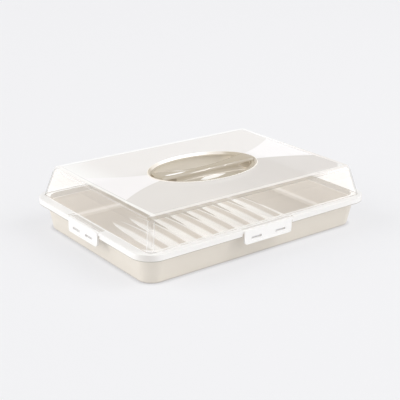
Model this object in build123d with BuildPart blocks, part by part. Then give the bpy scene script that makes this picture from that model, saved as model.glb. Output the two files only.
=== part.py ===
from build123d import *
import math
import os

os.makedirs("parts", exist_ok=True)

# Closed container: X runs along the long side, Y across, Z up, origin on the resting plane below
# the middle. An inset is a distance inwards from the outer face of the lid's skirt.
rim_length = 450.0
rim_width = 314.0
rim_corner = 32.0

# Base tray
rim_height = 50.2
tray_wall = 2.0
foot_inset = 18.2
foot_corner = 22.0
foot_rounding = 1.5
foot_ring_width = 7.0
foot_recess = 2.0
floor_thickness = 2.2
cove_radius = 10.0
mouth_inset = 9.6
mouth_corner = 28.0
flange_thickness = 2.0

# Raised ribs on the tray floor
rib_pitch = 33.0
rib_count = 8
rib_length = 178.0
rib_width = 32.0
rib_height = 4.4

# Lid skirt, ledge and locating rib
skirt_wall = 2.0
skirt_drop = 7.9
skirt_gap = 0.5
ledge_thickness = 2.4
ledge_rounding = 1.2
plug_gap = 0.4
plug_wall = 1.8
plug_depth = 7.2

# Lid walls and top
lid_wall = 2.0
lid_end_inset = 14.0
lid_side_inset = 9.0
lid_foot_corner = 10.0
lid_top_corner = 9.0
lid_end_lean = 14.0
lid_side_lean = 15.4
lid_top_height = 100.8
shoulder_radius = 7.0
panel_margin = 8.0
panel_edge = 0.2
panel_dip = 2.0
panel_crease_end = 62.0

# Oval collar in the lid's top, with a sloping inner face and a shelf for the handle insert
collar_length = 201.0
collar_width = 129.0
collar_drop = 0.4
collar_wall = 4.5
collar_edge = 1.2
collar_rounding = 0.5
shelf_reach = 3.2
shelf_thickness = 1.6

# Handle insert: an oval dish with two finger wells and a bar between them
handle_drop = 3.6
handle_lip_thickness = 1.5
handle_wall = 2.0
handle_gap = 0.35
well_depth = 14.8
dish_closing = 0.9
dish_power = 3.0
bar_sag = 2.2
bar_crest = 1.5
bar_crest_place = 84.0
bar_end_drop = 0.8
bar_width = 17.0
bar_end_width = 38.0
bar_rounding = 5.0
bar_cove = 12.0
bar_cove_bite = 0.4
bar_hollow_end = 18.0
tab_width = 12.0
tab_reach = 1.2
tab_height = 2.0
tab_gap = 0.1

# Swing latches
latch_width_long = 94.0
latch_width_short = 80.0
latch_pitch_long = 48.0
latch_pitch_short = 35.0
latch_bottom = 29.5
latch_thickness = 2.8
latch_stand = 2.0
latch_corner = 5.0
grip_height = 2.4
grip_reach = 0.8
barrel_radius = 2.2
barrel_inset = 2.5
pin_radius = 1.2
pin_length = 4.0
pin_clearance = 0.1
pin_end_gap = 0.5
latch_end_gap = 0.4
window_width = 20.0
window_height = 3.8
window_bottom = 36.2
ear_length = 6.0
ear_gap = 0.9
side_gap = 3.2
pocket_margin = 5.0
pocket_shelf = 1.4
pocket_depth = 0.8

# Catch lugs on the tray, one behind each latch window
lug_side_gap = 1.0
lug_drop_gap = 0.4
lug_thickness = 2.8
lug_reach_gap = 0.25
lug_web = 2.0

# Worked out from the sizes above
ledge_top = rim_height + ledge_thickness
skirt_bottom = rim_height - skirt_drop
floor_top = foot_recess + floor_thickness
tray_slope = (foot_inset - mouth_inset) / rim_height
flange_inset = skirt_wall + skirt_gap
plug_inset = mouth_inset + tray_wall + tray_slope * plug_depth + plug_gap
plug_inner_inset = plug_inset + plug_wall
plug_corner = mouth_corner - tray_wall
collar_top = lid_top_height - collar_drop
handle_top = collar_top - handle_drop
lip_bottom = handle_top - handle_lip_thickness
shelf_bottom = lip_bottom - shelf_thickness
barrel_top = ledge_top - pocket_depth
barrel_height = barrel_top - barrel_radius
barrel_low = barrel_height - barrel_radius
barrel_back = barrel_inset + barrel_radius
bore_radius = pin_radius + pin_clearance
latch_inner_inset = latch_thickness - latch_stand
lug_inset = latch_inner_inset + lug_reach_gap
lug_bottom = window_bottom + lug_drop_gap
notch_inset = barrel_back + ear_gap + latch_end_gap
ear_half = latch_end_gap + ear_length
well_bottom = handle_top - well_depth

# Shares of the dish's depth where its oval is drawn, and angles round the cove at the bar's foot
dish_shares = (0.0, 0.3, 0.6, 0.85, 1.0)
cove_angles = (90, 68, 45, 22, 0)

# Reach of a cutter past the surface that it opens
past = 1.0


# Rounded rectangle a given inset inside the skirt
def rim_outline(inset, corner):
    RectangleRounded(rim_length - 2 * inset, rim_width - 2 * inset, corner)


# Outline of the lid wall at a height, shrunk by a wall thickness
def lid_outline(height, shrink):
    climb = height - ledge_top
    share = climb / (lid_top_height - ledge_top)
    end_inset = lid_end_inset + climb * math.tan(math.radians(lid_end_lean)) + shrink
    side_inset = lid_side_inset + climb * math.tan(math.radians(lid_side_lean)) + shrink
    corner = lid_foot_corner + share * (lid_top_corner - lid_foot_corner) - shrink
    RectangleRounded(rim_length - 2 * end_inset, rim_width - 2 * side_inset, corner)


# Section plane of one side: its x points outwards from the skirt's face and its y points up
def side_frame(angle, distance):
    turn = math.radians(angle)
    outward = (math.cos(turn), math.sin(turn), 0)
    along = (-math.sin(turn), math.cos(turn), 0)
    origin = (distance * outward[0], distance * outward[1], 0)
    return Plane(origin=origin, x_dir=outward, z_dir=tuple(-a for a in along))


# Each side of the rim: outward angle, distance of the skirt's face, latch width, window pitch
sides = {
    "right": (0, rim_length / 2, latch_width_short, latch_pitch_short),
    "back": (90, rim_width / 2, latch_width_long, latch_pitch_long),
    "left": (180, rim_length / 2, latch_width_short, latch_pitch_short),
    "front": (270, rim_width / 2, latch_width_long, latch_pitch_long),
}


# Rectangle in a side's section: its two insets and its two heights
def section_box(outer_inset, inner_inset, low, high):
    with Locations((-(outer_inset + inner_inset) / 2, (low + high) / 2)):
        Rectangle(inner_inset - outer_inset, high - low)


# Inside of the tray, opened past the rim along the same slope
with BuildPart() as tray_cavity:
    with BuildSketch(Plane.XY.offset(floor_top)):
        rim_outline(foot_inset - tray_slope * floor_top + tray_wall, foot_corner - tray_wall)
    with BuildSketch(Plane.XY.offset(rim_height + past)):
        rim_outline(mouth_inset - tray_slope * past + tray_wall, mouth_corner - tray_wall)
    loft()
    fillet(tray_cavity.faces().sort_by(Axis.Z)[0].edges(), cove_radius)

rib_half = rib_length / 2
crown_radius = ((rib_width / 2) ** 2 + rib_height**2) / (2 * rib_height)
tip_radius = crown_radius - rib_height

# One floor rib, and the hollow below it: the top slice of a long barrel lying along Y
with BuildPart() as floor_rib:
    with BuildSketch(Plane.YZ):
        with BuildLine():
            ThreePointArc((-rib_half, tip_radius), (0, crown_radius), (rib_half, tip_radius))
            Polyline((rib_half, tip_radius), (rib_half, 0), (-rib_half, 0), (-rib_half, tip_radius))
        make_face()
    revolve(axis=Axis.Y)
    split(bisect_by=Plane.XY.offset(tip_radius - floor_thickness / 2), keep=Keep.TOP)

# Base tray: wall, foot ring, ribbed floor, rim flange and catch lugs in one moulding
with BuildPart() as base_tray:
    with BuildSketch():
        rim_outline(foot_inset, foot_corner)
    with BuildSketch(Plane.XY.offset(rim_height)):
        rim_outline(mouth_inset, mouth_corner)
    loft()
    fillet(base_tray.faces().sort_by(Axis.Z)[0].edges(), foot_rounding)
    with BuildSketch(Plane.XY.offset(rim_height - flange_thickness)):
        rim_outline(flange_inset, rim_corner - flange_inset)
    extrude(amount=flange_thickness)
    for angle, distance, width, pitch in sides.values():
        for place in (-pitch / 2, pitch / 2):
            with BuildSketch(side_frame(angle, distance).offset(place)):
                section_box(lug_inset, foot_inset, lug_bottom, lug_bottom + lug_thickness)
            extrude(amount=window_width / 2 - lug_side_gap, both=True)
            with BuildSketch(side_frame(angle, distance).offset(place)):
                section_box(notch_inset, foot_inset, lug_bottom, rim_height)
            extrude(amount=lug_web / 2, both=True)
        with BuildSketch(side_frame(angle, distance)):
            section_box(-past, notch_inset, rim_height - flange_thickness, rim_height + past)
        extrude(amount=width / 2 + ear_half + ear_gap, both=True, mode=Mode.SUBTRACT)
    add(tray_cavity.part, mode=Mode.SUBTRACT)
    with BuildSketch():
        rim_outline(foot_inset + foot_ring_width, foot_corner - foot_ring_width)
    extrude(amount=foot_recess, mode=Mode.SUBTRACT)
    with GridLocations(rib_pitch, 1, rib_count, 1):
        with Locations((0, 0, floor_top - tip_radius)):
            add(floor_rib.part)
    with GridLocations(rib_pitch, 1, rib_count, 1):
        with Locations((0, 0, foot_recess - tip_radius)):
            add(floor_rib.part, mode=Mode.SUBTRACT)


# Oval that lies a given distance inside the collar's outer edge
def collar_oval(inset):
    Ellipse(collar_length / 2 - inset, collar_width / 2 - inset)


# Insets of the shelf's opening, the insert's lip, its dish and its finger wells
hole_inset = collar_wall + shelf_reach
lip_inset = collar_wall + handle_gap
dish_inset = hole_inset + handle_gap
well_inset = dish_inset + handle_wall

# Room inside the collar, wider at its top
collar_slope = (collar_wall - collar_edge) / handle_drop
with BuildPart() as collar_room:
    with BuildSketch(Plane.XY.offset(handle_top)):
        collar_oval(collar_wall)
    with BuildSketch(Plane.XY.offset(collar_top + past)):
        collar_oval(collar_edge - collar_slope * past)
    loft()
    with BuildSketch(Plane.XY.offset(lip_bottom)):
        collar_oval(collar_wall)
    extrude(amount=handle_lip_thickness)

# Collar with the shelf at its foot
with BuildPart() as lid_collar:
    with BuildSketch(Plane.XY.offset(shelf_bottom)):
        collar_oval(0)
    extrude(amount=collar_top - shelf_bottom)
    add(collar_room.part, mode=Mode.SUBTRACT)
    fillet(lid_collar.faces().sort_by(Axis.Z)[-1].edges(), collar_rounding)

# Dip in the lid's top, shallow at its edges and deepest round the collar
panel_climb = lid_top_height - ledge_top
panel_end_inset = lid_end_inset + panel_climb * math.tan(math.radians(lid_end_lean)) + panel_margin
panel_side_inset = lid_side_inset + panel_climb * math.tan(math.radians(lid_side_lean)) + panel_margin
panel_half_length = rim_length / 2 - panel_end_inset
panel_half_width = rim_width / 2 - panel_side_inset
panel_high = lid_top_height + panel_edge
panel_low = panel_high - panel_dip
panel_end_height = panel_low + panel_dip * panel_crease_end / panel_half_width
panel_cut_top = panel_high + 2 * lid_wall
with BuildPart() as panel_recess:
    with BuildSketch(Plane.YZ):
        Polygon(
            (-panel_half_width, panel_cut_top),
            (-panel_half_width, panel_high),
            (0, panel_low),
            (panel_half_width, panel_high),
            (panel_half_width, panel_cut_top),
            align=None,
        )
    extrude(amount=panel_half_length, both=True)
    with BuildSketch(Plane.XZ):
        Polygon(
            (-panel_half_length, panel_cut_top),
            (-panel_half_length, panel_end_height),
            (-collar_length / 2, panel_low),
            (collar_length / 2, panel_low),
            (panel_half_length, panel_end_height),
            (panel_half_length, panel_cut_top),
            align=None,
        )
    extrude(amount=panel_half_width, both=True, mode=Mode.INTERSECT)

# Panel that closes the dip
with BuildPart() as lid_panel:
    with Locations((0, 0, -lid_wall)):
        add(panel_recess.part)
    add(panel_recess.part, mode=Mode.SUBTRACT)

# Space under the lid
with BuildPart() as lid_space:
    with BuildSketch(Plane.XY.offset(ledge_top)):
        lid_outline(ledge_top, lid_wall)
    with BuildSketch(Plane.XY.offset(lid_top_height - lid_wall)):
        lid_outline(lid_top_height - lid_wall, lid_wall)
    loft()
    fillet(lid_space.faces().sort_by(Axis.Z)[-1].edges(), shoulder_radius - lid_wall)

# Clear lid: skirt, ledge, locating rib, walls, frosted panel, latch pockets and hinge ears
with BuildPart() as lid_shell:
    with BuildSketch(Plane.XY.offset(ledge_top)):
        lid_outline(ledge_top, 0)
    with BuildSketch(Plane.XY.offset(lid_top_height)):
        lid_outline(lid_top_height, 0)
    loft()
    fillet(lid_shell.faces().sort_by(Axis.Z)[-1].edges(), shoulder_radius)
    add(panel_recess.part, mode=Mode.SUBTRACT)
    with BuildSketch(Plane.XY.offset(skirt_bottom)):
        rim_outline(0, rim_corner)
    extrude(amount=ledge_top - skirt_bottom)
    ledge_face = lid_shell.faces().filter_by_position(Axis.Z, ledge_top, ledge_top)[0]
    fillet(ledge_face.outer_wire().edges(), ledge_rounding)
    with BuildSketch(Plane.XY.offset(skirt_bottom)):
        rim_outline(skirt_wall, rim_corner - skirt_wall)
    extrude(amount=rim_height - skirt_bottom, mode=Mode.SUBTRACT)
    with BuildSketch(Plane.XY.offset(rim_height - plug_depth)):
        rim_outline(plug_inset, plug_corner)
    extrude(amount=plug_depth)
    for angle, distance, width, pitch in sides.values():
        latch_half = width / 2 + latch_end_gap
        for side in (-1, 1):
            with BuildSketch(side_frame(angle, distance).offset(side * (latch_half + ear_length / 2))):
                section_box(0, barrel_back, barrel_low, rim_height + past)
            extrude(amount=ear_length / 2, both=True)
        wall_inset = lid_end_inset if angle % 180 == 0 else lid_side_inset
        with BuildSketch(side_frame(angle, distance)):
            section_box(-past, wall_inset - pocket_shelf, ledge_top - pocket_depth, ledge_top + past)
        extrude(amount=width / 2 + pocket_margin, both=True, mode=Mode.SUBTRACT)
        with BuildSketch(side_frame(angle, distance)):
            section_box(-past, notch_inset, skirt_bottom - past, ledge_top + past)
        extrude(amount=latch_half, both=True, mode=Mode.SUBTRACT)
        with BuildSketch(side_frame(angle, distance)):
            section_box(-past, skirt_wall, skirt_bottom - past, barrel_low)
        extrude(amount=width / 2 + side_gap, both=True, mode=Mode.SUBTRACT)
        with BuildSketch(side_frame(angle, distance)):
            with Locations((-barrel_inset, barrel_height)):
                Circle(bore_radius)
        extrude(amount=latch_half + pin_length, both=True, mode=Mode.SUBTRACT)
    add(lid_space.part, mode=Mode.SUBTRACT)
    add(lid_panel.part)
    with BuildSketch(Plane.XY.offset(rim_height - plug_depth - past)):
        rim_outline(plug_inner_inset, plug_corner - plug_wall)
    extrude(amount=plug_depth + ledge_thickness + 2 * past, mode=Mode.SUBTRACT)
    with BuildSketch(Plane.XY.offset(rim_height)):
        collar_oval(collar_edge)
    extrude(amount=lid_top_height, mode=Mode.SUBTRACT)
    add(lid_collar.part)
    with BuildSketch(Plane.XY.offset(rim_height)):
        collar_oval(hole_inset)
    extrude(amount=lid_top_height, mode=Mode.SUBTRACT)


# Half-sizes of the dish's oval at a share of its depth, grown by a wall thickness
def dish_half_sizes(share, grow):
    fullness = (1 - (dish_closing * share) ** dish_power) ** (1 / dish_power)
    half_length = (collar_length / 2 - well_inset) * fullness + grow
    half_width = (collar_width / 2 - well_inset) * fullness + grow
    return half_length, half_width


# Plan of the bar, narrow in the middle, shrunk by a wall thickness
def bar_plan(shrink, reach):
    middle = bar_width / 2 - shrink
    end = bar_end_width / 2 - shrink
    with BuildSketch() as plan:
        with BuildLine():
            ThreePointArc((-reach, end), (0, middle), (reach, end))
            Line((reach, end), (reach, -end))
            ThreePointArc((reach, -end), (0, -middle), (-reach, -end))
            Line((-reach, -end), (-reach, end))
        make_face()
    return plan.sketch


# Side view of the bar, sagging between two crests near its ends, lowered by a wall thickness
def bar_profile(lower):
    reach = collar_length / 2
    crest = (bar_crest_place, collar_top + bar_crest - lower)
    middle = collar_top - bar_sag - lower
    end = (reach, collar_top - bar_end_drop - lower)
    foot = well_bottom - handle_wall - past
    slope = 2 * (bar_crest + bar_sag) / bar_crest_place
    with BuildSketch() as profile:
        with BuildLine():
            ThreePointArc((-crest[0], crest[1]), (0, middle), crest)
            TangentArc(crest, end, tangent=(1, slope))
            Polyline(end, (reach, foot), (-reach, foot), (-end[0], end[1]))
            TangentArc((-crest[0], crest[1]), (-end[0], end[1]), tangent=(-1, slope))
        make_face()
    return profile.sketch


# Long ridges of a bar, where its top meets its sides
def bar_ridges(bar):
    high_edges = bar.edges().filter_by(lambda edge: edge.center().Z > lip_bottom - handle_wall)
    return high_edges.filter_by(lambda edge: abs((edge @ 1 - edge @ 0).X) > bar_rounding)


# Bar between the two finger wells
with BuildPart() as handle_bar:
    with BuildSketch(Plane.XY.offset(well_bottom - handle_wall)):
        add(bar_plan(0, collar_length / 2))
    extrude(amount=collar_top + 2 * bar_crest - well_bottom + handle_wall)
    with BuildSketch(Plane.XZ):
        add(bar_profile(0))
    extrude(amount=collar_width / 2, both=True, mode=Mode.INTERSECT)
    fillet(bar_ridges(handle_bar), bar_rounding)

# Flared foot of the bar
with BuildPart() as bar_foot:
    for angle in cove_angles:
        turn = math.radians(angle)
        spread = bar_cove * (1 - math.sin(turn)) - bar_cove_bite
        with BuildSketch(Plane.XY.offset(well_bottom + bar_cove * (1 - math.cos(turn)))):
            add(bar_plan(-spread, collar_length / 2))
    loft()

# Part of the bar that stands on the insert's lip
with BuildPart() as bar_top:
    with BuildSketch(Plane.XY.offset(lip_bottom)):
        collar_oval(lip_inset)
    extrude(amount=collar_top + 2 * bar_crest - lip_bottom)
    add(handle_bar.part, mode=Mode.INTERSECT)

# Hollow under the bar
with BuildPart() as bar_hollow:
    with BuildSketch(Plane.XY.offset(well_bottom - handle_wall - past)):
        add(bar_plan(handle_wall, collar_length / 2 - bar_hollow_end))
    extrude(amount=collar_top - well_bottom)
    with BuildSketch(Plane.XZ):
        add(bar_profile(handle_wall))
    extrude(amount=collar_width / 2, both=True, mode=Mode.INTERSECT)
    fillet(bar_ridges(bar_hollow), bar_rounding - handle_wall)

# Room for the fingers
with BuildPart() as finger_wells:
    for share in dish_shares:
        with BuildSketch(Plane.XY.offset(handle_top - share * well_depth)):
            Ellipse(*dish_half_sizes(share, 0))
    loft()
    add(bar_foot.part, mode=Mode.SUBTRACT)
    add(handle_bar.part, mode=Mode.SUBTRACT)

# Handle insert: lip, dish, bar with its hollow underside, and snap tabs under the shelf
with BuildPart() as handle:
    for share in dish_shares:
        with BuildSketch(Plane.XY.offset(handle_top - share * (well_depth + handle_wall))):
            Ellipse(*dish_half_sizes(share, handle_wall))
    loft()
    with BuildSketch(Plane.XY.offset(lip_bottom)):
        collar_oval(lip_inset)
    extrude(amount=handle_lip_thickness)
    add(bar_top.part)
    for angle in (0, 90, 180, 270):
        tab_top = shelf_bottom - tab_gap
        hole_half = (collar_length if angle % 180 == 0 else collar_width) / 2 - hole_inset
        with BuildSketch(side_frame(angle, hole_half + tab_reach)):
            section_box(0, handle_wall + 2 * tab_reach, tab_top - tab_height, tab_top)
        extrude(amount=tab_width / 2, both=True)
    add(finger_wells.part, mode=Mode.SUBTRACT)
    add(bar_hollow.part, mode=Mode.SUBTRACT)


# One latch: plate, barrel with stub pins, two windows and a finger grip along its bottom edge
def make_latch(angle, distance, width, pitch):
    frame = side_frame(angle, distance)
    with BuildPart() as latch:
        with BuildSketch(frame):
            section_box(-latch_stand, latch_inner_inset, latch_bottom, barrel_top)
            section_box(latch_inner_inset, barrel_inset, barrel_low, barrel_top)
            section_box(-latch_stand - grip_reach, 0, latch_bottom, latch_bottom + grip_height)
            with Locations((-barrel_inset, barrel_height)):
                Circle(barrel_radius)
        extrude(amount=width / 2, both=True)
        bottom_face = latch.faces().sort_by(Axis.Z)[0]
        fillet(bottom_face.edges().sort_by(SortBy.LENGTH)[:2], latch_corner)
        with BuildSketch(frame):
            with Locations((-barrel_inset, barrel_height)):
                Circle(pin_radius)
        extrude(amount=width / 2 + latch_end_gap + pin_length - pin_end_gap, both=True)
        for place in (-pitch / 2, pitch / 2):
            with BuildSketch(frame.offset(place)):
                section_box(-latch_stand - past, barrel_inset, window_bottom, window_bottom + window_height)
            extrude(amount=window_width / 2, both=True, mode=Mode.SUBTRACT)
    return latch.part


pieces = {"base_tray": base_tray.part, "lid_shell": lid_shell.part, "handle": handle.part}
for side_name, side_sizes in sides.items():
    pieces["latch_" + side_name] = make_latch(*side_sizes)

for label, piece in pieces.items():
    piece.label = label
    export_step(piece, f"parts/{label}.step")
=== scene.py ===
import math

import bpy
from mathutils import Matrix, Vector

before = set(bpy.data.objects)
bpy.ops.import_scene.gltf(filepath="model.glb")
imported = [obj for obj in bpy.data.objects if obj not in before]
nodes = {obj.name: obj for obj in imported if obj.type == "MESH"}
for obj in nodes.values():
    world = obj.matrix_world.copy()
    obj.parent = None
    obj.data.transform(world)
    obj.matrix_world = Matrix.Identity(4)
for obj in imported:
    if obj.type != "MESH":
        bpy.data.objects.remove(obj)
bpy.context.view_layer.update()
scene = bpy.context.scene
scene.view_settings.view_transform = "Standard"
print("frame loaded")

# Camera: looks down on the front left corner
camera = {
    "place": (-0.866607, -1.076191, 0.556988),
    "right": (0.78558884, -0.61840042, 0.02076291),
    "up": (0.20086215, 0.28661812, 0.93675207),
    "lens": 81.77,
    "sensor": 36.0,
}


def makeCamera():
    data = bpy.data.cameras.new("camera")
    data.lens = camera["lens"]
    data.sensor_width = camera["sensor"]
    data.clip_start = 0.05
    data.clip_end = 50.0
    right = Vector(camera["right"])
    up = Vector(camera["up"])
    back = right.cross(up)
    turn = Matrix((right, up, back)).transposed().to_4x4()
    cam = bpy.data.objects.new("camera", data)
    cam.matrix_world = Matrix.Translation(camera["place"]) @ turn
    scene.collection.objects.link(cam)
    scene.camera = cam


makeCamera()
print("camera placed")


def addNode(tree, kind, **settings):
    node = tree.nodes.new(kind)
    for name, value in settings.items():
        setattr(node, name, value)
    return node


def link(tree, fromSocket, toSocket):
    tree.links.new(fromSocket, toSocket)


def emptyTree(owner):
    owner.use_nodes = True
    owner.node_tree.nodes.clear()
    return owner.node_tree


def setColour(socket, colour):
    socket.default_value = (*colour, 1)


def mathNode(tree, operation, *values):
    node = addNode(tree, "ShaderNodeMath", operation=operation)
    for number, value in enumerate(values):
        if isinstance(value, (int, float)):
            node.inputs[number].default_value = value
        else:
            link(tree, value, node.inputs[number])
    return node.outputs[0]


# Goes softly from 0 at the start to 1 at the end, which may lie on either side
def ramp(tree, value, start, end):
    node = addNode(tree, "ShaderNodeMapRange", interpolation_type="SMOOTHSTEP")
    link(tree, value, node.inputs["Value"])
    node.inputs["From Min"].default_value = start
    node.inputs["From Max"].default_value = end
    return node.outputs["Result"]


# Rises from the first value to the second and falls from the third to the fourth
def band(tree, value, limits):
    rise = ramp(tree, value, limits[0], limits[1])
    fall = ramp(tree, value, limits[3], limits[2])
    return mathNode(tree, "MULTIPLY", rise, fall)


def allOf(tree, *masks):
    total = masks[0]
    for mask in masks[1:]:
        total = mathNode(tree, "MULTIPLY", total, mask)
    return total


def anyOf(tree, *masks):
    total = masks[0]
    for mask in masks[1:]:
        total = mathNode(tree, "MAXIMUM", total, mask)
    return total


def blend(tree, amount, start, end):
    node = addNode(tree, "ShaderNodeMix", data_type="RGBA")
    link(tree, amount, node.inputs[0])
    for number, colour in ((6, start), (7, end)):
        if isinstance(colour, tuple):
            setColour(node.inputs[number], colour)
        else:
            link(tree, colour, node.inputs[number])
    return node.outputs[2]


def mixShaders(tree, amount, first, second):
    node = addNode(tree, "ShaderNodeMixShader")
    for number, socket in enumerate((amount, first, second)):
        link(tree, socket, node.inputs[number])
    return node.outputs[0]


# Rays that meet the backdrop itself: straight, in a mirror and through a clear wall
def seenRays(tree):
    path = addNode(tree, "ShaderNodeLightPath")
    return anyOf(tree, *(path.outputs[f"Is {ray} Ray"] for ray in ("Camera", "Glossy", "Transmission")))


# Light: an even pale surround, soft lamps at both ends and a tall softbox before the right end
light = {
    "surround": 0.49,
    "backdrop": (0.896, 0.896, 0.913),
    "lamps": {
        # name: direction to the lamp, power, spread in degrees
        "leftLamp": ((-0.80, 0.45, 0.42), 1.80, 50),
        "rightLamp": ((0.55, -0.62, 0.56), 1.15, 60),
    },
    "softbox": {"place": (2.24, -2.00, 2.60), "width": 0.30, "height": 2.0, "power": 26.0},
}


def makeSurround():
    world = bpy.data.worlds.new("surround")
    scene.world = world
    tree = emptyTree(world)
    seen = addNode(tree, "ShaderNodeBackground")
    setColour(seen.inputs["Color"], light["backdrop"])
    seen.inputs["Strength"].default_value = 1.0
    lit = addNode(tree, "ShaderNodeBackground")
    setColour(lit.inputs["Color"], (1, 1, 1))
    lit.inputs["Strength"].default_value = light["surround"]
    output = addNode(tree, "ShaderNodeOutputWorld")
    link(tree, mixShaders(tree, seenRays(tree), lit.outputs[0], seen.outputs[0]), output.inputs[0])


def makeLamp(name, direction, power, spread):
    data = bpy.data.lights.new(name, "SUN")
    data.energy = power
    data.angle = math.radians(spread)
    lamp = bpy.data.objects.new(name, data)
    lamp.rotation_euler = Vector(direction).to_track_quat("Z", "Y").to_euler()
    lamp.visible_glossy = False  # soft fill without a mirror image
    scene.collection.objects.link(lamp)


def makeSoftbox(settings):
    data = bpy.data.lights.new("softbox", "AREA")
    data.shape = "RECTANGLE"
    data.size = settings["width"]
    data.size_y = settings["height"]
    data.energy = settings["power"]
    box = bpy.data.objects.new("softbox", data)
    box.location = settings["place"]
    box.rotation_euler = Vector(settings["place"]).to_track_quat("Z", "Y").to_euler()
    scene.collection.objects.link(box)


makeSurround()
for lampName, (direction, power, spread) in light["lamps"].items():
    makeLamp(lampName, direction, power, spread)
makeSoftbox(light["softbox"])
print("light set")

# Floor: runs into the backdrop, with a soft shade along the container's foot
floor = {
    "reach": 8.0,
    "drop": 0.0002,  # keeps it off the foot ring
    "colour": (0.86, 0.86, 0.875),
    "ownLight": 0.70,
    "shadeColour": (0.66, 0.65, 0.66),
    "shadeReach": 0.009,
    "shadeOpenness": (0.95, 0.45),  # where the shade starts and where it is full
    "shadeSamples": 8,
}


def makeFloor():
    mesh = bpy.data.meshes.new("floor")
    reach = floor["reach"]
    corners = [(-reach, -reach, 0), (reach, -reach, 0), (reach, reach, 0), (-reach, reach, 0)]
    mesh.from_pydata(corners, [], [(0, 1, 2, 3)])
    sheet = bpy.data.objects.new("floor", mesh)
    sheet.location = (0, 0, -floor["drop"])
    scene.collection.objects.link(sheet)
    material = bpy.data.materials.new("floorPaint")
    tree = emptyTree(material)
    plain = addNode(tree, "ShaderNodeBsdfDiffuse")
    setColour(plain.inputs["Color"], floor["colour"])
    nearness = addNode(tree, "ShaderNodeAmbientOcclusion", samples=floor["shadeSamples"])
    nearness.inputs["Distance"].default_value = floor["shadeReach"]
    shade = ramp(tree, nearness.outputs["AO"], *floor["shadeOpenness"])
    glow = addNode(tree, "ShaderNodeEmission")
    link(tree, blend(tree, shade, light["backdrop"], floor["shadeColour"]), glow.inputs["Color"])
    share = mathNode(tree, "MULTIPLY", seenRays(tree), floor["ownLight"])
    output = addNode(tree, "ShaderNodeOutputMaterial")
    link(tree, mixShaders(tree, share, plain.outputs[0], glow.outputs[0]), output.inputs["Surface"])
    mesh.materials.append(material)


makeFloor()
print("floor laid")


# Tones are painted by place. A place is a set of limits on the sockets that spotsOf names, in metres
# or as the share of a face's direction: two limits make a ramp and four a band
def spotsOf(tree):
    coords = addNode(tree, "ShaderNodeTexCoord")
    place = addNode(tree, "ShaderNodeSeparateXYZ")
    facing = addNode(tree, "ShaderNodeSeparateXYZ")
    link(tree, coords.outputs["Object"], place.inputs[0])
    link(tree, coords.outputs["Normal"], facing.inputs[0])
    alongX = mathNode(tree, "MULTIPLY", place.outputs["X"], facing.outputs["X"])
    spots = {
        "x": place.outputs["X"],
        "y": place.outputs["Y"],
        "height": place.outputs["Z"],
        "fromMidX": mathNode(tree, "ABSOLUTE", place.outputs["X"]),
        "fromMidY": mathNode(tree, "ABSOLUTE", place.outputs["Y"]),
        "facingBack": facing.outputs["Y"],
        "facingUp": facing.outputs["Z"],
        "sideways": mathNode(tree, "ABSOLUTE", facing.outputs["X"]),
        "frontways": mathNode(tree, "ABSOLUTE", facing.outputs["Y"]),
        # above 0 on faces that look away from the object's middle, below 0 on those that look at it
        "outward": mathNode(tree, "MULTIPLY_ADD", place.outputs["Y"], facing.outputs["Y"], alongX),
    }
    spots["steep"] = anyOf(tree, spots["sideways"], spots["frontways"])
    return spots


def maskOf(tree, spots, place):
    parts = []
    for name, limits in place.items():
        if name == "either":
            parts.append(anyOf(tree, *(maskOf(tree, spots, choice) for choice in limits)))
        elif name == "without":
            parts.append(mathNode(tree, "SUBTRACT", 1.0, maskOf(tree, spots, limits)))
        elif len(limits) == 4:
            parts.append(band(tree, spots[name], limits))
        else:
            parts.append(ramp(tree, spots[name], *limits))
    return allOf(tree, *parts)


def masksOf(tree, spots, places):
    return {name: maskOf(tree, spots, place) for name, place in places.items()}


# A colour that turns into another one within the limits
def shift(start, end, **limits):
    return {"start": start, "end": end, "limits": limits}


def colourOf(tree, spots, colour):
    if not isinstance(colour, dict):
        return colour
    start = colourOf(tree, spots, colour["start"])
    end = colourOf(tree, spots, colour["end"])
    return blend(tree, maskOf(tree, spots, colour["limits"]), start, end)


# Paints the colours over the tone, each in the place of its name, the last one on top
def paintOver(tree, spots, masks, tone, colours):
    for name, colour in colours.items():
        tone = blend(tree, masks[name], tone, colourOf(tree, spots, colour))
    return tone


# Limits for a place that ends or begins at a height or a distance, with a soft edge
def below(limit, soft=0.0006):
    return (limit + soft, limit - soft)


def above(limit, soft=0.0006):
    return (limit - soft, limit + soft)


inward = {"outward": (-0.02, -0.05)}  # faces that look at the object's middle
notInward = {"outward": (-0.05, -0.02)}

# What the moulded, opaque pieces share
plastic = {
    "cloudScale": 9.0,
    "cloudDetail": 3.0,
    "grainScale": 900.0,
    "grainDetail": 2.0,
    "grain": 0.08,
    "grainDepth": 0.0002,
    "coatRoughness": 0.08,
}


def addNoise(tree, coords, scale, detail):
    noise = addNode(tree, "ShaderNodeTexNoise")
    noise.inputs["Scale"].default_value = scale
    noise.inputs["Detail"].default_value = detail
    link(tree, coords.outputs["Object"], noise.inputs["Vector"])
    return noise.outputs["Fac"]


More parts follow.
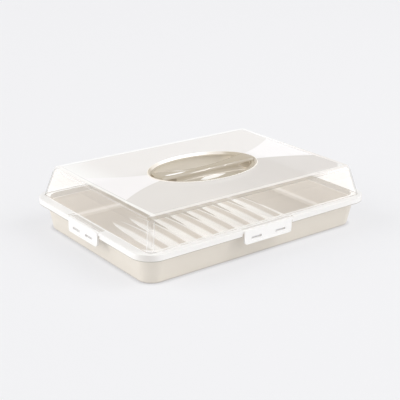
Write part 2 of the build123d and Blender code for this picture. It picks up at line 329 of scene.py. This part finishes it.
def plasticMaterial(name, settings, addSheen=None):
    material = bpy.data.materials.new(name)
    material.use_nodes = True
    tree = material.node_tree
    shader = tree.nodes["Principled BSDF"]
    shader.inputs["Roughness"].default_value = settings["roughness"]
    shader.inputs["Coat Weight"].default_value = settings["coat"]
    shader.inputs["Coat Roughness"].default_value = settings["coatRoughness"]
    coords = addNode(tree, "ShaderNodeTexCoord")
    cloud = addNoise(tree, coords, settings["cloudScale"], settings["cloudDetail"])
    tone = blend(tree, cloud, settings["colour"], settings["second"])
    if "places" in settings:
        spots = spotsOf(tree)
        masks = masksOf(tree, spots, settings["places"])
        tone = paintOver(tree, spots, masks, tone, settings["colours"])
        if addSheen:
            tone = addSheen(tree, spots, masks, tone, shader)
    link(tree, tone, shader.inputs["Base Color"])
    # painted glow: the tone also shines faintly by itself, as strong as the piece's glow
    link(tree, tone, shader.inputs["Emission Color"])
    shader.inputs["Emission Strength"].default_value = settings["glow"]
    bump = addNode(tree, "ShaderNodeBump")
    bump.inputs["Strength"].default_value = settings["grain"]
    bump.inputs["Distance"].default_value = settings["grainDepth"]
    grain = addNoise(tree, coords, settings["grainScale"], settings["grainDetail"])
    link(tree, grain, bump.inputs["Height"])
    link(tree, bump.outputs["Normal"], shader.inputs["Normal"])
    return material


def dress(nodeName, material):
    mesh = nodes[nodeName].data
    mesh.materials.clear()
    mesh.materials.append(material)


# Tray: glossy beige moulding, with ribs on its floor that carry painted stripes of highlight and shade
ribZone = {
    "fromMidX": (0.134, 0.133),
    "fromMidY": (0.090, 0.084),
    "height": (0.0120, 0.0100),
    "facingUp": (0.5, 0.7),
}
grooveHeight = (0.0047, 0.0043)
tray = {
    **plastic,
    "colour": (0.775, 0.725, 0.65),
    "second": (0.755, 0.705, 0.625),
    "roughness": 0.32,
    "coat": 0.2,
    "glow": 0.04,  # painted glow, standing in for light that comes through the thin walls
    "colours": {
        # painted shade: the inner walls a little darker than the outside
        "innerWall": (0.75, 0.70, 0.635),
        # painted shade: the floor darker than the walls, and darker still towards the right end
        "floor": shift((0.67, 0.61, 0.53), (0.62, 0.565, 0.49), x=(0.08, 0.13)),
        # painted highlight on the round between the floor and the walls
        "floorEdgeHighlight": (0.90, 0.855, 0.80),
        # painted shadow along the foot, on the lowest three millimetres of the outside
        "foot": (0.60, 0.56, 0.51),
        "lugs": (0.70, 0.70, 0.72),
        # painted highlight on the ribs, then painted shade in the grooves at the back
        "litRibStripes": (1.0, 0.99, 0.97),
        "shadedGrooveStripes": (0.50, 0.44, 0.37),
    },
    "places": {
        "innerWall": {**inward, "height": (0.010, 0.014)},
        "floor": {
            "fromMidX": (0.199, 0.196),
            "fromMidY": (0.131, 0.128),
            "facingUp": (0.3, 0.6),
            "height": (0.014, 0.012),
        },
        # painted highlight along the round between the floor and the walls
        "floorEdgeHighlight": {
            "facingUp": (0.35, 0.50, 0.72, 0.86),
            "height": (0.016, 0.013),
            "either": ({"fromMidX": (0.175, 0.185)}, {"fromMidY": (0.110, 0.118)}),
            "outward": (-0.01, -0.03),
        },
        "foot": {"height": (0.0030, 0.0012), "outward": (0.0, 0.02)},
        "lugs": {
            "height": (0.0435, 0.0425),
            "either": ({"fromMidX": (0.2190, 0.2200)}, {"fromMidY": (0.1510, 0.1520)}),
        },
        # painted highlight on the flanks of the ribs and on the grooves at the front
        "litRibStripes": {
            **ribZone,
            "either": (
                {"steep": (0.14, 0.30)},
                {"height": grooveHeight, "y": (0.010, -0.004), "fromMidY": (0.075, 0.050)},
            ),
        },
        # painted shade in the grooves at the back
        "shadedGrooveStripes": {
            **ribZone,
            "height": grooveHeight,
            "x": (-0.115, -0.080),
            "y": (0.004, 0.016),
            "fromMidY": (0.070, 0.045),
        },
    },
}
dress("base_tray", plasticMaterial("trayBeige", tray))
print("tray dressed")

# Handle: a deeper beige, glossy but for the back well and the top of the bar, with painted highlights,
# light and shade
backWell = {"y": (0.014, 0.020), "height": (0.0969, 0.0965)}
handle = {
    **plastic,
    "colour": (0.53, 0.475, 0.39),
    "second": (0.51, 0.455, 0.37),
    "roughness": 0.14,
    "satin": 0.5,
    "coat": 1.0,
    "shine": 0.5,
    "dullShine": 0.1,
    "frontDulling": 0.7,
    "glow": 0.07,
    "colours": {
        # painted shade: the top of the bar darker
        "barTop": (0.47, 0.41, 0.315),
        # painted light: the back well lighter towards the left
        "backLight": (0.62, 0.57, 0.49),
        # painted light: the deep ends of the wells lighter
        "ends": (0.74, 0.67, 0.56),
        # painted shade: a dark line along the back edge of the bar's top
        "barEdgeShade": (0.34, 0.28, 0.19),
    },
    "places": {
        "barTop": {"facingUp": (0.80, 0.95), "height": (0.0955, 0.0965)},
        "backWell": backWell,
        "backLight": {**backWell, "x": (0.130, 0.020)},
        "frontWell": {"y": (-0.006, -0.012), "height": (0.0945, 0.0925)},
        "wellFloor": {"height": (0.0910, 0.0900)},
        "ends": {"fromMidX": (0.060, 0.078), "height": (0.0966, 0.0955)},
        "barEdgeShade": {
            "facingBack": (0.03, 0.12),
            "height": (0.0940, 0.0955),
            "fromMidY": (0.024, 0.022),
        },
    },
    # colour of the painted highlights
    "highlightColour": (1.0, 0.985, 0.955),
    # painted highlights: two along the left half of the bar and a leaf at the foot of its front
    "paintedHighlights": (
        {
            "on": "barTop",
            "middle": (-0.0430, -0.0035),
            "slope": 0.12,
            "half": 0.0026,
            "reach": (-0.086, -0.074, -0.052, -0.034),
        },
        {
            "on": "barTop",
            "middle": (-0.0450, 0.0040),
            "slope": -0.38,
            "half": 0.0014,
            "reach": (-0.076, -0.066, -0.050, -0.024),
        },
        {
            "on": "wellFloor",
            "middle": (0.0090, -0.0136),
            "slope": 0.0,
            "half": 0.0027,
            "reach": (-0.020, -0.004, 0.012, 0.042),
        },
    ),
    "highlightEdge": (0.0001, -0.0005),
    "highlightTip": (0.0, 0.2),
}


# A painted highlight is widest at its middle and tapers towards both ends of its reach
def highlightMask(tree, spots, masks, highlight):
    middleX, middleY = highlight["middle"]
    crossing = middleY - highlight["slope"] * middleX
    line = mathNode(tree, "MULTIPLY_ADD", spots["x"], highlight["slope"], crossing)
    aside = mathNode(tree, "ABSOLUTE", mathNode(tree, "SUBTRACT", spots["y"], line))
    taper = band(tree, spots["x"], highlight["reach"])
    edge = mathNode(tree, "MULTIPLY_ADD", taper, -highlight["half"], aside)
    inside = ramp(tree, edge, *handle["highlightEdge"])
    return allOf(tree, masks[highlight["on"]], inside, ramp(tree, taper, *handle["highlightTip"]))


# Painted highlights on the bar, and less gloss on its top and in the wells
def addHandleSheen(tree, spots, masks, tone, shader):
    for highlight in handle["paintedHighlights"]:
        tone = blend(tree, highlightMask(tree, spots, masks, highlight), tone, handle["highlightColour"])
    rough = addNode(tree, "ShaderNodeMix")
    link(tree, masks["backWell"], rough.inputs[0])
    rough.inputs[2].default_value = handle["roughness"]
    rough.inputs[3].default_value = handle["satin"]
    link(tree, rough.outputs[0], shader.inputs["Roughness"])
    frontDull = mathNode(tree, "MULTIPLY", masks["frontWell"], handle["frontDulling"])
    dull = anyOf(tree, masks["backWell"], masks["barTop"], frontDull)
    coat = mathNode(tree, "MULTIPLY_ADD", dull, -handle["coat"], handle["coat"])
    link(tree, coat, shader.inputs["Coat Weight"])
    loss = handle["dullShine"] - handle["shine"]
    shine = mathNode(tree, "MULTIPLY_ADD", dull, loss, handle["shine"])
    link(tree, shine, shader.inputs["Specular IOR Level"])
    return tone


dress("handle", plasticMaterial("handleBeige", handle, addHandleSheen))
print("handle dressed")

# Latches: satin white
latch = {
    **plastic,
    "colour": (0.925, 0.915, 0.90),
    "second": (0.905, 0.895, 0.88),
    "roughness": 0.3,
    "coat": 0.1,
    "glow": 0.06,
}
latchWhite = plasticMaterial("latchWhite", latch)
for name in ("latch_front", "latch_back", "latch_left", "latch_right"):
    dress(name, latchWhite)
print("latches dressed")

# Lid: clear walls, frosted panel with painted light and shade and its ends painted whiter, collar
# painted white as a highlight, paler skirt and ledge, painted highlights and shade along the edges and
# corners
clearWall = {"height": (0.0532, 0.0545, 0.093, 0.097)}
skirt = {**notInward, "height": (0.0532, 0.0528)}
collar = {"collarRound": (1.006, 1.0), "height": (0.0930, 0.0934)}
upperEdge = {"height": (0.080, 0.085)}
panel = {
    "fromMidX": below(0.1886),
    "height": above(0.0985),
    # the panel's tone runs on a little at the front
    "either": ({"fromMidY": below(0.1238)}, {"fromMidY": below(0.1268), "y": (-0.10, -0.11)}),
}
lid = {
    "tint": (0.99, 0.985, 0.978),
    "haze": 0.14,
    "hazeColour": (0.98, 0.98, 0.985),
    "shadowShare": 0.45,
    "refraction": 1.5,
    "wallRoughness": 0.04,
    "topRoughness": 0.39,
    "frostRoughness": 0.35,
    # painted glow of the inner faces of the walls, the collar and the rib
    "glow": 0.30,
    "glowing": ("farWall", "collar", "ribFace"),
    "collarHalf": (0.1006, 0.0646),
    "mirrorSlant": -0.73,
    # edge of the panel's end facets, a curve that opens from the collar's ends outwards
    "crease": {"start": 0.1, "half": 0.017, "slope": 0.2728, "bow": 2.27},
    # how much of the milky layer each place shows: frost on the panel and the paler skirt, painted
    # highlights, shade and glow elsewhere
    "frostAndPaintedLight": {
        "panel": 0.88,
        "collar": 0.97,
        "margin": 0.9,
        "topLine": 0.62,
        "topBand": 0.35,
        "cornerLines": 0.45,
        "cornerMiddle": 0.28,
        "skirt": 0.88,
        "ribLine": 0.60,
        "ribFace": 0.36,
        "farWall": 0.85,
        "outline": 0.8,
    },
    "wallColoursAndPaintedLight": {
        # painted highlight on the flat strip round the panel, dimmer towards the front and at the left
        # end
        "margin": shift(
            shift((0.85, 0.82, 0.78), (1.0, 1.0, 0.99), y=(-0.08, 0.08)),
            (0.95, 0.935, 0.91),
            x=(-0.1880, -0.1895),
        ),
        "skirt": (0.965, 0.955, 0.94),
        # painted shade: the skirt darker at its rounded corners
        "skirtCornerShade": (0.84, 0.82, 0.79),
        # painted shade on the floor of the latch pockets
        "pocket": (0.72, 0.695, 0.655),
        # painted light on the rib seen through the wall, and a painted highlight at its foot
        "ribFace": (0.86, 0.82, 0.765),
        "ribLine": (1.0, 0.97, 0.93),
    },
    # painted light and shade on the frosted panel: the front half darker, more so towards the right,
    # the back half lighter towards the left end
    "panelColourLightAndShade": shift(
        shift((0.765, 0.735, 0.70), (0.67, 0.635, 0.60), x=(-0.15, 0.15)),
        shift((0.835, 0.81, 0.785), (0.94, 0.935, 0.915), x=(-0.125, -0.190)),
        y=(-0.02, 0.02),
    ),
    "panelPaintedLight": {
        # painted light: the panel's end facets whiter
        "ends": (0.965, 0.945, 0.945),
        # the ends' painted light, dimmer towards the two right corners
        "endCorner": (0.88, 0.87, 0.845),
    },
    "paintedLightColours": {
        # painted shadow line under the skirt
        "hemShadow": (0.47, 0.44, 0.385),
        # painted highlight: the collar white, and glowing
        "collar": (1.0, 0.995, 0.985),
        # where the collar's painted highlight gives way to beige towards its ends, darker at the back
        "collarEnds": shift((0.86, 0.825, 0.78), (0.70, 0.655, 0.59), y=(-0.03, 0.0)),
        "collarMirror": (0.43, 0.375, 0.285),
        # painted shade: dark line round the rounded top edge
        "topLine": (0.47, 0.43, 0.37),
        # painted shade: dark outline on the rounded corners
        "outline": (0.50, 0.50, 0.48),
    },
    "places": {
        "panel": panel,
        "ends": {"fromCrease": (0.0012, -0.0012), "fromMidX": (0.09, 0.1)},
        "endCorner": {"cornerwards": (0.299, 0.306)},
        "margin": {"height": (0.0990, 0.1004), "without": panel},
        "collar": collar,
        "collarEnds": {**collar, "either": ({"x": (0.030, 0.068)}, {"x": (-0.022, -0.072)})},
        # the collar's sloping inside mirrors the dish towards its ends
        "collarMirror": {**collar, "outward": (-0.010, -0.022), "mirrorFacing": (-0.08, 0.12)},
        # painted shade: a dark line round the rounded top edge, on steeper faces at the front and back
        # than at the ends
        "topLine": {
            **upperEdge,
            "either": (
                {"facingUp": (0.48, 0.62, 0.93, 0.98), "frontways": (0.16, 0.08)},
                {"facingUp": (0.26, 0.40, 0.76, 0.90), "frontways": (0.08, 0.16)},
            ),
        },
        # painted highlight: a light band on the round of the top edge
        "topBand": {**upperEdge, "facingUp": (0.34, 0.38, 0.44, 0.52)},
        # painted highlights: two lines down each rounded corner of the walls, and a fainter milky band
        # between them
        "cornerLines": {
            **clearWall,
            "either": (
                {"sideways": (0.12, 0.22, 0.30, 0.42)},
                {"frontways": (0.12, 0.22, 0.30, 0.42)},
            ),
        },
        "cornerMiddle": {**clearWall, "sideways": (0.25, 0.42), "frontways": (0.25, 0.42)},
        # painted shade: a dark outline on the rounded corners where they turn away from the eye
        "outline": {
            **clearWall,
            "sideways": (0.05, 0.14),
            "frontways": (0.05, 0.14),
            "grazing": (0.46, 0.64),
        },
        # painted light: the inner faces of the clear walls milky white and glowing
        "farWall": {**inward, **clearWall},
        "skirt": skirt,
        "skirtCornerShade": {**skirt, "sideways": (0.10, 0.60), "frontways": (0.10, 0.60)},
        "hemShadow": {**notInward, "height": (0.0434, 0.0431)},  # painted shadow line along the lower edge of the skirt
        # painted shade on the floor of the latch pockets
        "pocket": {
            "height": (0.0522, 0.0520),
            "facingUp": (0.8, 0.95),
            "either": ({"fromMidY": (0.0405, 0.0395)}, {"fromMidX": (0.0475, 0.0465)}),
        },
        # painted light on the locating rib, seen through the wall, and a painted highlight for the
        # bright line at its foot
        "ribFace": {**inward, "height": (0.0528, 0.0524)},
        "ribLine": {**inward, "height": (0.0425, 0.0430, 0.0438, 0.0446)},
    },
    # the dark line fades to the faint share towards the far ends of the front and left edges
    "lineNear": {"x": (0.175, 0.10), "y": (0.055, -0.04)},
    "lineFaint": 0.1,
}


# Sockets that only the lid's places use
def lidSpots(tree):
    spots = spotsOf(tree)
    # below 1 inside the collar's oval
    shareX = mathNode(tree, "DIVIDE", spots["fromMidX"], lid["collarHalf"][0])
    shareY = mathNode(tree, "DIVIDE", spots["fromMidY"], lid["collarHalf"][1])
    squareX = mathNode(tree, "MULTIPLY", shareX, shareX)
    spots["collarRound"] = mathNode(tree, "MULTIPLY_ADD", shareY, shareY, squareX)
    crease = lid["crease"]
    past = mathNode(tree, "SUBTRACT", spots["fromMidX"], crease["start"])
    slope = mathNode(tree, "MULTIPLY_ADD", past, crease["bow"], crease["slope"])
    half = mathNode(tree, "MULTIPLY_ADD", past, slope, crease["half"])
    spots["fromCrease"] = mathNode(tree, "SUBTRACT", spots["fromMidY"], half)
    # largest at the two right corners
    spots["cornerwards"] = mathNode(tree, "ADD", spots["x"], spots["fromMidY"])
    slant = lid["mirrorSlant"]
    spots["mirrorFacing"] = mathNode(tree, "MULTIPLY_ADD", spots["frontways"], slant, spots["sideways"])
    spots["grazing"] = addNode(tree, "ShaderNodeLayerWeight").outputs["Facing"]
    return spots


def lidMasks(tree, spots):
    masks = masksOf(tree, spots, lid["places"])
    near = maskOf(tree, spots, lid["lineNear"])
    strength = mathNode(tree, "MULTIPLY_ADD", near, 1.0 - lid["lineFaint"], lid["lineFaint"])
    masks["topLine"] = allOf(tree, masks["topLine"], strength)
    return masks


# Share of the milky layer, which carries the panel's frost and the painted light and shade
def lidFrostAndPaintedLight(tree, masks):
    shares = [mathNode(tree, "MULTIPLY", masks[name], share) for name, share in lid["frostAndPaintedLight"].items()]
    frostAndPaintedLight = mathNode(tree, "MAXIMUM", anyOf(tree, *shares), lid["haze"])
    path = addNode(tree, "ShaderNodeLightPath")
    inShadow = path.outputs["Is Shadow Ray"]
    thinner = mathNode(tree, "MULTIPLY_ADD", inShadow, lid["shadowShare"] - 1.0, 1.0)
    return mathNode(tree, "MULTIPLY", frostAndPaintedLight, thinner)


# Colour of the milky layer: the walls' and panel's tones with their painted light and shade
def lidColourAndPaintedLight(tree, spots, masks):
    walls = paintOver(tree, spots, masks, lid["hazeColour"], lid["wallColoursAndPaintedLight"])
    top = colourOf(tree, spots, lid["panelColourLightAndShade"])
    top = paintOver(tree, spots, masks, top, lid["panelPaintedLight"])
    colour = blend(tree, masks["panel"], walls, top)
    return paintOver(tree, spots, masks, colour, lid["paintedLightColours"])


def clearShader(tree, spots):
    pane = addNode(tree, "ShaderNodeBsdfTransparent")
    setColour(pane.inputs["Color"], lid["tint"])
    gloss = addNode(tree, "ShaderNodeBsdfGlossy")
    setColour(gloss.inputs["Color"], (1, 1, 1))
    rise = lid["topRoughness"] - lid["wallRoughness"]
    onTop = maskOf(tree, spots, upperEdge)
    rough = mathNode(tree, "MULTIPLY_ADD", onTop, rise, lid["wallRoughness"])
    link(tree, rough, gloss.inputs["Roughness"])
    fresnel = addNode(tree, "ShaderNodeFresnel")
    fresnel.inputs["IOR"].default_value = lid["refraction"]
    return mixShaders(tree, fresnel.outputs[0], pane.outputs[0], gloss.outputs[0])


# The milky layer, with its painted colours and a painted glow
def frostAndPaintedLightShader(tree, spots, masks):
    milk = addNode(tree, "ShaderNodeBsdfPrincipled")
    colour = lidColourAndPaintedLight(tree, spots, masks)
    link(tree, colour, milk.inputs["Base Color"])
    link(tree, colour, milk.inputs["Emission Color"])
    milk.inputs["Roughness"].default_value = lid["frostRoughness"]
    glowing = anyOf(tree, *(masks[name] for name in lid["glowing"]))
    link(tree, mathNode(tree, "MULTIPLY", glowing, lid["glow"]), milk.inputs["Emission Strength"])
    return milk.outputs[0]


def lidMaterial():
    material = bpy.data.materials.new("lidClear")
    tree = emptyTree(material)
    spots = lidSpots(tree)
    masks = lidMasks(tree, spots)
    clear = clearShader(tree, spots)
    surface = mixShaders(tree, lidFrostAndPaintedLight(tree, masks), clear, frostAndPaintedLightShader(tree, spots, masks))
    # Only the side of a wall that faces outwards is drawn
    through = addNode(tree, "ShaderNodeBsdfTransparent")
    geometry = addNode(tree, "ShaderNodeNewGeometry")
    both = mixShaders(tree, geometry.outputs["Backfacing"], surface, through.outputs[0])
    output = addNode(tree, "ShaderNodeOutputMaterial")
    link(tree, both, output.inputs["Surface"])
    return material


dress("lid_shell", lidMaterial())
print("lid dressed")
